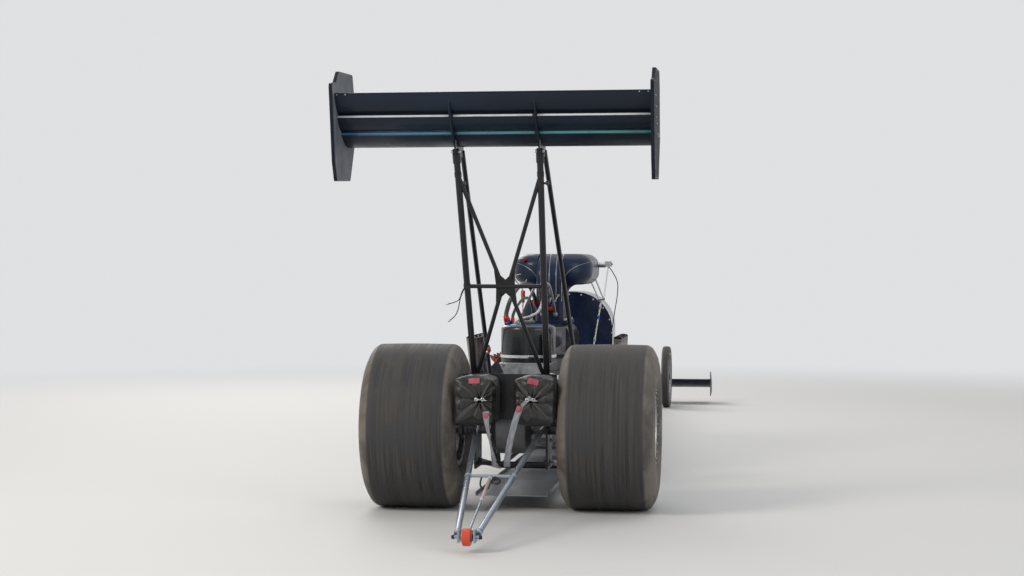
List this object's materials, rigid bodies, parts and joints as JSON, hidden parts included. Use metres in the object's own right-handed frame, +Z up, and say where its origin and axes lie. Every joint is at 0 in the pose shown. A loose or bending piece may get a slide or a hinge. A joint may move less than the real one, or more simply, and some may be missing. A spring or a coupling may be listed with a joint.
{
  "type": "drag racing car",
  "caption": "Long low rear-engined drag racing car with wide slick rear tyres, thin front wheels, supercharged V engine, tall strut-carried rear wing and anti-wheelie bar.",
  "frame": {"origin": "on the ground, under the middle of the whole length and width", "axes": "+X to the driver's right, +Y forward along the car, +Z up"},
  "size_m": [1.692, 10.148, 2.3374],
  "materials": {
    "body_gloss": "gloss lacquer, dark navy",
    "frame_black": "satin powder coat, black",
    "wing_navy": "gloss, dark navy",
    "plate_dark": "satin, dark grey",
    "alloy": "machined",
    "alloy_dark": "cast, sooted",
    "steel_blue": "brushed tube",
    "steel": "brushed",
    "header_steel": "heat-tinted",
    "iron": "cast",
    "tyre_rubber": "soft slick, dusty",
    "pack_cloth": "woven nylon, black",
    "webbing": "woven strap, silver-grey",
    "red_urethane": "cast urethane, red-orange",
    "tank_black": "moulded, black",
    "screen": "smoked clear sheet",
    "seat_black": "moulded, black",
    "braid": "braided hose cover",
    "belt_rubber": "toothed belt"
  },
  "bodies": {
    "chassis": {"belly_pan": "alloy", "blower": "alloy_dark", "blower_drive": "belt_rubber", "brake_calipers": "alloy_dark", "breather_hoses": "belt_rubber", "cage_shroud": "body_gloss", "cage_side_bars": "frame_black", "catch_tank": "tank_black", "chute_carrier": "frame_black", "chute_packs": "pack_cloth", "chute_risers": "webbing", "clutch_can": "steel", "cockpit_tub": "body_gloss", "cylinder_heads": "alloy_dark", "end_plates": "plate_dark", "engine_block": "iron", "frame_rails": "frame_black", "front_axle": "frame_black", "front_wing": "wing_navy", "fuel_hose": "braid", "headers": "header_steel", "injector_hat": "body_gloss", "intake_manifold": "alloy_dark", "magneto": "tank_black", "motor_plates": "alloy", "nose_body": "body_gloss", "nose_cone": "body_gloss", "rear_end": "alloy_dark", "reverser": "alloy_dark", "rocker_covers": "alloy_dark", "roll_cage": "frame_black", "seat": "seat_black", "steering_column": "steel", "strut_brace": "frame_black", "tank_bracket": "alloy", "throttle_cable": "tank_black", "throttle_linkage": "steel", "throttle_plates": "alloy", "wheelie_bar": "steel_blue", "windscreen": "screen", "wing_brackets": "frame_black", "wing_flaps": "wing_navy", "wing_main": "wing_navy", "wing_struts": "frame_black"},
    "rear_axle": {"axle_shaft": "steel", "rear_rims": "alloy", "rear_tyres": "tyre_rubber"},
    "knuckle_left": {"knuckle_left": "steel"},
    "knuckle_right": {"knuckle_right": "steel"},
    "tie_rod": {"tie_rod": "steel"},
    "front_wheel_left": {"front_rim_left": "alloy", "front_tyre_left": "tyre_rubber"},
    "front_wheel_right": {"front_rim_right": "alloy", "front_tyre_right": "tyre_rubber"},
    "steering_wheel": {"steering_wheel": "alloy_dark"},
    "wheelie_wheel": {"wheelie_wheel": "red_urethane"}
  },
  "joints": [
    {"name": "rear_axle_spin", "type": "hinge", "parent": "chassis", "child": "rear_axle", "pos_m": [0, -3.367, 0.45], "axis": [1, 0, 0], "continuous": true},
    {"name": "knuckle_left_steer", "type": "hinge", "parent": "chassis", "child": "knuckle_left", "pos_m": [-0.37, 4.253, 0.262], "axis": [0, 0, 1], "range_deg": [-15, 15]},
    {"name": "knuckle_right_steer", "type": "hinge", "parent": "chassis", "child": "knuckle_right", "pos_m": [0.37, 4.253, 0.262], "axis": [0, 0, 1], "range_deg": [-15, 15]},
    {"name": "tie_rod_pivot", "type": "hinge", "parent": "knuckle_left", "child": "tie_rod", "pos_m": [-0.37, 4.133, 0.24], "axis": [0, 0, 1], "range_deg": [-15, 15]},
    {"name": "front_wheel_left_spin", "type": "hinge", "parent": "knuckle_left", "child": "front_wheel_left", "pos_m": [-0.443, 4.253, 0.285], "axis": [1, 0, 0], "continuous": true},
    {"name": "front_wheel_right_spin", "type": "hinge", "parent": "knuckle_right", "child": "front_wheel_right", "pos_m": [0.443, 4.253, 0.285], "axis": [1, 0, 0], "continuous": true},
    {"name": "steering_wheel_turn", "type": "hinge", "parent": "chassis", "child": "steering_wheel", "pos_m": [0, 0.073, 0.545], "axis": [0, -0.9397, 0.342], "range_deg": [-90, 90]},
    {"name": "wheelie_wheel_spin", "type": "hinge", "parent": "chassis", "child": "wheelie_wheel", "pos_m": [0, -5.032, 0.073], "axis": [1, 0, 0], "continuous": true}
  ],
  "couplings": [
    {"joint": "knuckle_right_steer", "follows": "knuckle_left_steer", "ratio": 1},
    {"joint": "tie_rod_pivot", "follows": "knuckle_left_steer", "ratio": -1},
    {"joint": "steering_wheel_turn", "follows": "knuckle_left_steer", "ratio": 6}
  ]
}
